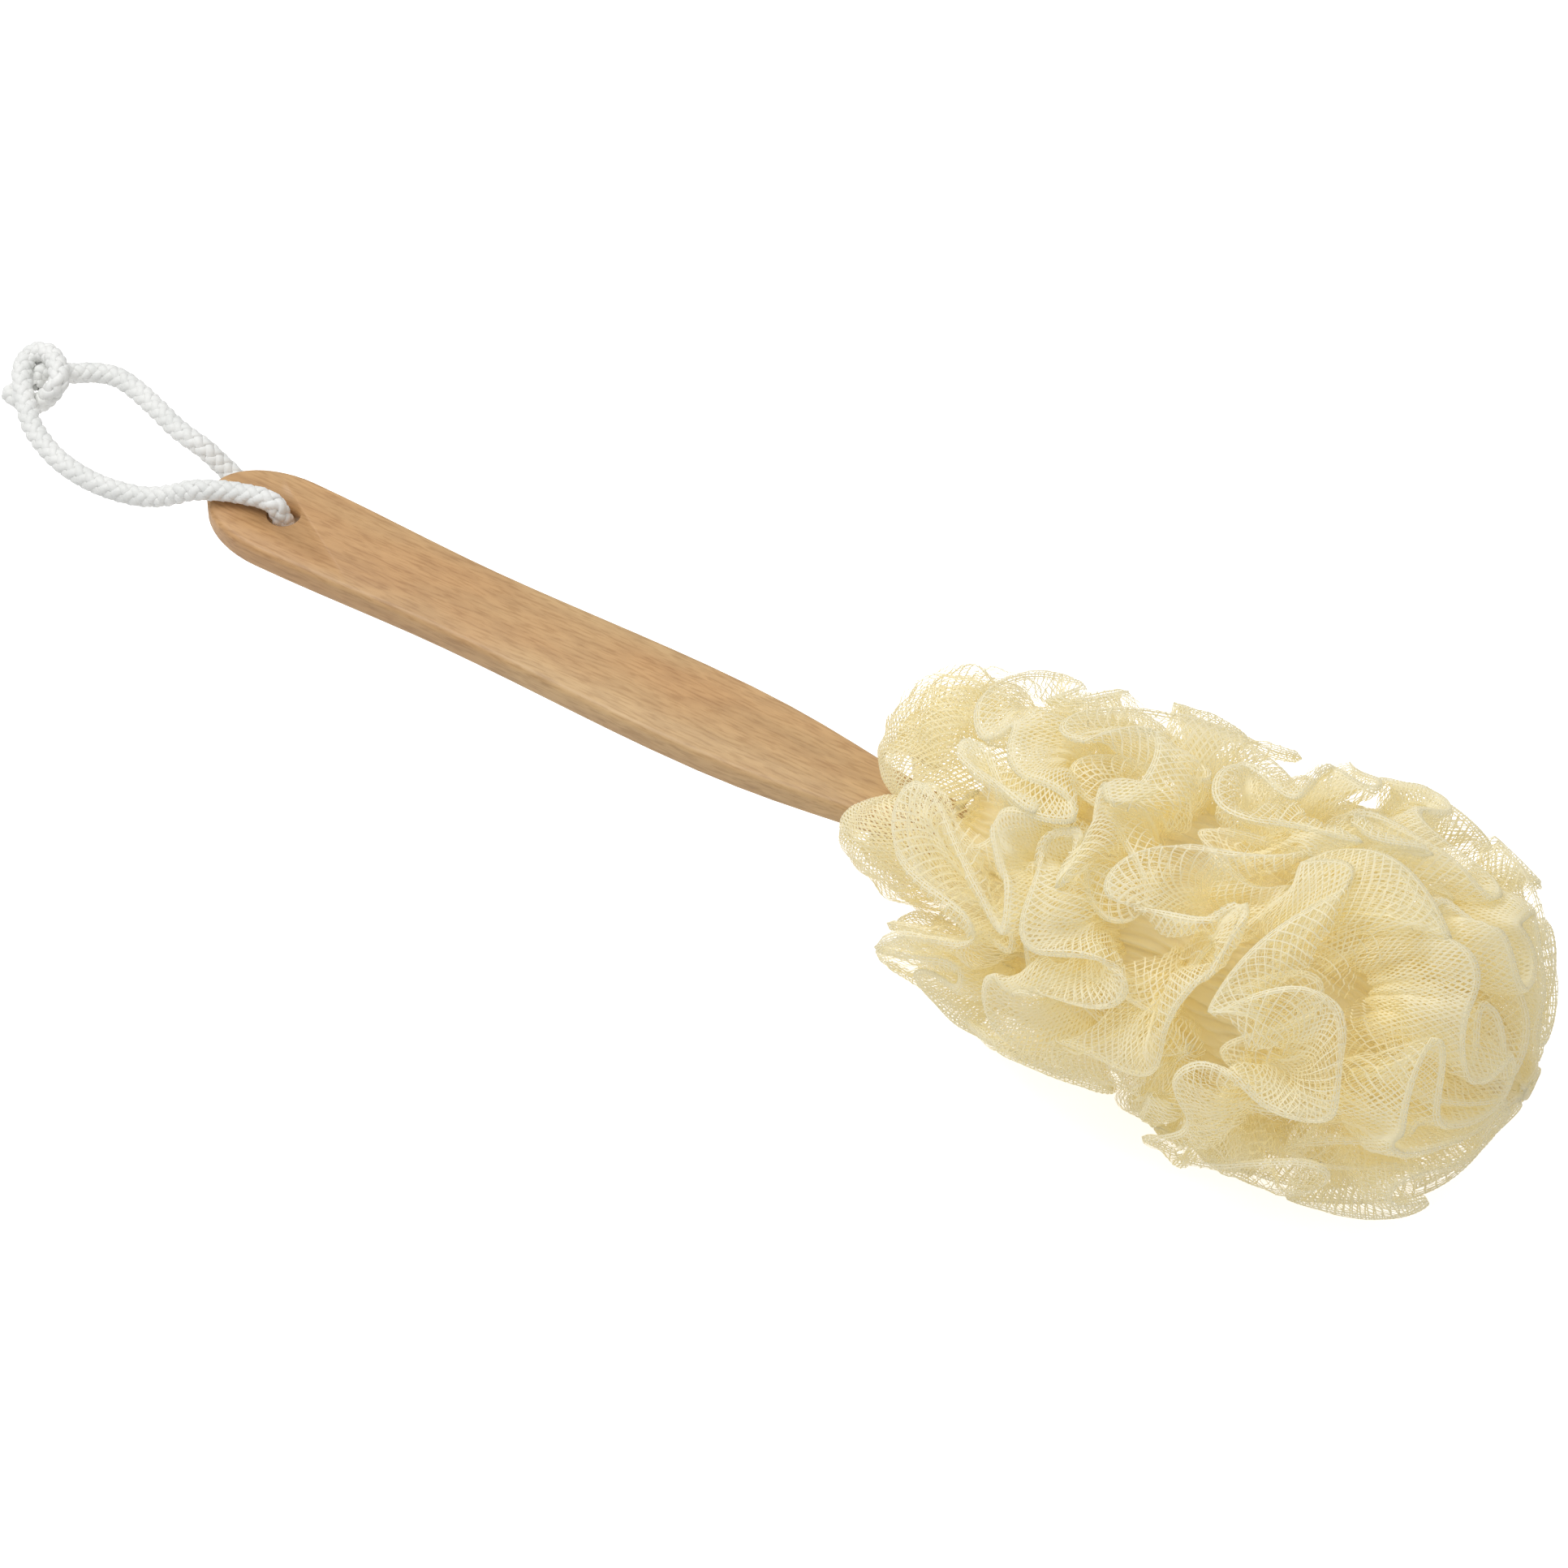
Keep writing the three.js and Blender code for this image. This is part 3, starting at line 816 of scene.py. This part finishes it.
def cord_places():
    """The cord's course from the cut tail through the knot, over the board, down the hole and back."""
    tail = [(-177.3, 6.2, -2.3), (-172, 5.2, -2.3), (-167.2, 4.9, -1), (-163.3, 4.8, 3)]
    wrap = [(-160.3, 5.5, 7.5), (-159.6, 7.7, 10), (-161.9, 10.5, 10.8)]
    ring = [(-166.4, 13.9, 10.2), (-171.1, 14.6, 9), RING_SIDE, (-172.4, 7.6, 7), (-169.1, 3.2, 6)]
    near_leg = [(-164.8, -1.2, 5), (-160, -5.5, 4.3), (-154, -9, 4), (-146, -12.3, 4), (-137, -14, 4),
                (-128.5, -14, 4), (-120.5, -12.4, 4), (-115, -10.6, 4.8), (-110, -9, 7),
                (-106, -7.9, 9.6), (-102, -6.9, ON_TOP - 0.1), (-96, -3.8, ON_TOP),
                (-90, -1.8, ON_TOP), (-86, -0.8, ON_TOP), (IN_HOLE - 1.2, -0.2, TOP + 2.1)]
    through = [(IN_HOLE, 0, TOP - 1.5), (IN_HOLE + 0.5, 0.5, TOP / 2), (IN_HOLE + 0.9, 0.9, 1.5)]
    far_leg = [(IN_HOLE - 0.3, 1.2, -2.1), (-85.6, 2.2, UNDER), (-93, 6, UNDER), (-100, 10.4, UNDER),
               (-105, 12.1, UNDER + 0.7), (-110, 12.7, -0.6), (-115, 12.8, 2.4), (-120.7, 13, 3.9),
               (-127, 14.6, 4), (-134, 17.2, 4), (-144, 20.4, 4), (-151, 21.4, 4)]
    inside_knot = [(-157, 19.6, 4), (-161.6, 16.2, 4.2), (-165.4, 13.8, 5), (-168.3, 12.2, 5),
                   (-169.7, 9.8, 3.9), (-169, 7.3, 2.8)]
    return tail + wrap + ring + near_leg + through + far_leg + inside_knot


def steady_frames(route):
    """Two directions square to the route at every point, turning as little as possible."""
    along = unit(np.gradient(route, axis=0))
    first = np.empty_like(route)
    start = np.cross(along[0], [0, 0, 1.0])
    first[0] = start / np.linalg.norm(start)
    for i in range(1, len(route)):
        v = first[i - 1] - along[i] * (first[i - 1] @ along[i])
        first[i] = v / np.linalg.norm(v)
    return first, np.cross(along, first)


def braid(route, start_length):
    """Points and faces of eight yarns plaited round the route, whose start lies at start_length."""
    first, second = steady_frames(route)
    turn = TAU * (start_length + distance_along(route)) / BRAID_LENGTH
    middle_radius = CORD_RADIUS - YARN_THICKNESS - WEAVE
    sides = np.arange(YARN_SIDES) / YARN_SIDES * TAU
    points, quads = [], []
    for way in (1, -1):
        for yarn in range(YARNS_EACH_WAY):
            angle = way * turn + TAU * yarn / YARNS_EACH_WAY
            height = middle_radius + way * WEAVE * np.cos(YARNS_EACH_WAY * turn)
            radial = first * np.cos(angle)[:, None] + second * np.sin(angle)[:, None]
            centre = route + radial * height[:, None]
            flow = unit(np.gradient(centre, axis=0))
            across = unit(np.cross(flow, radial))
            out = np.cross(across, flow)
            rings = (centre[:, None] + across[:, None] * (YARN_WIDTH * np.cos(sides))[None, :, None]
                     + out[:, None] * (YARN_THICKNESS * np.sin(sides))[None, :, None])
            rings[0] = narrowed(rings[0], YARN_TIP)
            rings[-1] = narrowed(rings[-1], YARN_TIP)
            quads.append(grid_quads(len(route), YARN_SIDES, wrap_columns=True) + sum(map(len, points)))
            points.append(rings.reshape(-1, 3))
    return np.vstack(points), np.vstack(quads)


def add_cord():
    """The knot, which rides on the loop, and the rest of the cord."""
    route = smooth_route(cord_places(), CORD_STEP)
    split = int(np.argmin(np.linalg.norm(route - np.array(RING_SIDE), axis=1)))
    knot_points, knot_quads = braid(route[:split + 1], 0)
    knot = mesh_object("cord_knot_braid", knot_points, knot_quads, CORD)
    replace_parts(knot, "cord_knot")
    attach(knot, "cord_loop")
    cord_points, cord_quads = braid(route[split:], split * CORD_STEP)
    cord = mesh_object("hanging_cord_braid", cord_points, cord_quads, CORD)
    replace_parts(cord, "cord_bight", "cord_loop")
    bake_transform(cord)


# ---- Handle and tie strings: the CAD nodes, with materials of their own ----

WELD_DISTANCE = 0.00002  # metres


def dress(node, material):
    """Give a CAD node that stays visible its own material."""
    shown = frame["nodes"][node]
    shown.data.materials.clear()
    shown.data.materials.append(material)


def add_handle():
    """The CAD handle with its faces welded, so that its rounded edges shade smoothly."""
    dress("handle", WOOD)
    handle = frame["nodes"]["handle"]
    weld = handle.modifiers.new("weld", "WELD")
    weld.merge_threshold = WELD_DISTANCE
    for polygon in handle.data.polygons:
        polygon.use_smooth = True


# ---- Floor, light and camera, in metres ----

FLOOR_HALF = 3.0
FLOOR_GAP = 0.0005  # below the lowest piece
FLOOR_GLOW = 0.66
KEY_PLACE, KEY_SIZE, KEY_POWER = (-0.55, -0.1, 1.15), 0.7, 7.9  # places are from the object's middle
FILL_PLACE, FILL_SIZE, FILL_POWER = (0.3, -1.1, 0.7), 0.9, 0.5
SKY = {"From Min": -0.1, "From Max": 1.0, "To Min": 0.26, "To Max": 0.76}  # strength by height
CAMERA_AZIMUTH, CAMERA_ELEVATION = 31.57, 49.28  # degrees, fitted to the board's outline
CAMERA_DISTANCE = 1.5
CAMERA_TARGET = (0.084, -0.0112, 0.008)
CAMERA_LENS, CAMERA_SENSOR = 134.05, 36  # millimetres


def add_floor():
    """A level floor just below the lowest visible point."""
    low = min(float((o.matrix_world @ Vector(c)).z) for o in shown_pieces() for c in o.bound_box)
    mesh = bpy.data.meshes.new("floor")
    corners = [(x * FLOOR_HALF, y * FLOOR_HALF, 0) for x, y in ((-1, -1), (1, -1), (1, 1), (-1, 1))]
    mesh.from_pydata(corners, [], [(0, 1, 2, 3)])
    mesh.materials.append(floor_material())
    floor = bpy.data.objects.new("floor", mesh)
    floor.location.z = low - FLOOR_GAP
    bpy.context.scene.collection.objects.link(floor)
    floor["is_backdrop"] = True


def add_area_light(name, from_middle, size, power):
    """A square light that faces the object's middle."""
    middle = (cad_box[0] + cad_box[1]) / 2
    data = bpy.data.lights.new(name, "AREA")
    data.size = size
    data.energy = power
    light = bpy.data.objects.new(name, data)
    light.location = middle + Vector(from_middle)
    light.rotation_euler = (-Vector(from_middle)).to_track_quat("-Z", "Y").to_euler()
    bpy.context.scene.collection.objects.link(light)


def add_light():
    """A sky that is white to the camera and brighter overhead, a soft key light and a weak fill."""
    world = bpy.data.worlds.new("studio")
    world.use_nodes = True
    tree = world.node_tree
    background = tree.nodes["Background"]
    background.inputs["Color"].default_value = (1, 1, 1, 1)
    direction = tree.nodes.new("ShaderNodeTexCoord").outputs["Generated"]
    split = tree.nodes.new("ShaderNodeSeparateXYZ")
    tree.links.new(direction, split.inputs[0])
    height = tree.nodes.new("ShaderNodeMapRange")
    for key, value in SKY.items():
        height.inputs[key].default_value = value
    tree.links.new(split.outputs["Z"], height.inputs["Value"])
    seen = tree.nodes.new("ShaderNodeLightPath").outputs["Is Camera Ray"]
    brighter = tree.nodes.new("ShaderNodeMath")
    brighter.operation = "MAXIMUM"
    tree.links.new(height.outputs["Result"], brighter.inputs[0])
    tree.links.new(seen, brighter.inputs[1])
    tree.links.new(brighter.outputs[0], background.inputs["Strength"])
    bpy.context.scene.world = world
    add_area_light("key", KEY_PLACE, KEY_SIZE, KEY_POWER)
    add_area_light("fill", FILL_PLACE, FILL_SIZE, FILL_POWER)
    bpy.context.scene.view_settings.view_transform = "Standard"
    cycles = bpy.context.scene.cycles
    cycles.max_bounces = 14
    cycles.diffuse_bounces = 8
    cycles.transmission_bounces = 8


def add_camera():
    """The photograph's camera."""
    azimuth, elevation = math.radians(CAMERA_AZIMUTH), math.radians(CAMERA_ELEVATION)
    back = Vector((math.sin(azimuth) * math.cos(elevation), -math.cos(azimuth) * math.cos(elevation),
                   math.sin(elevation)))
    data = bpy.data.cameras.new("camera")
    data.lens = CAMERA_LENS
    data.sensor_width = CAMERA_SENSOR
    camera = bpy.data.objects.new("camera", data)
    camera.location = Vector(CAMERA_TARGET) + back * CAMERA_DISTANCE
    camera.rotation_mode = "QUATERNION"
    camera.rotation_quaternion = (-back).to_track_quat("-Z", "Y")
    bpy.context.scene.collection.objects.link(camera)
    bpy.context.scene.camera = camera


add_head()
add_cord()
add_handle()
for k in range(RUFFLES):
    dress(f"tie_string_{k + 1}", STRING)
add_floor()
add_light()
add_camera()
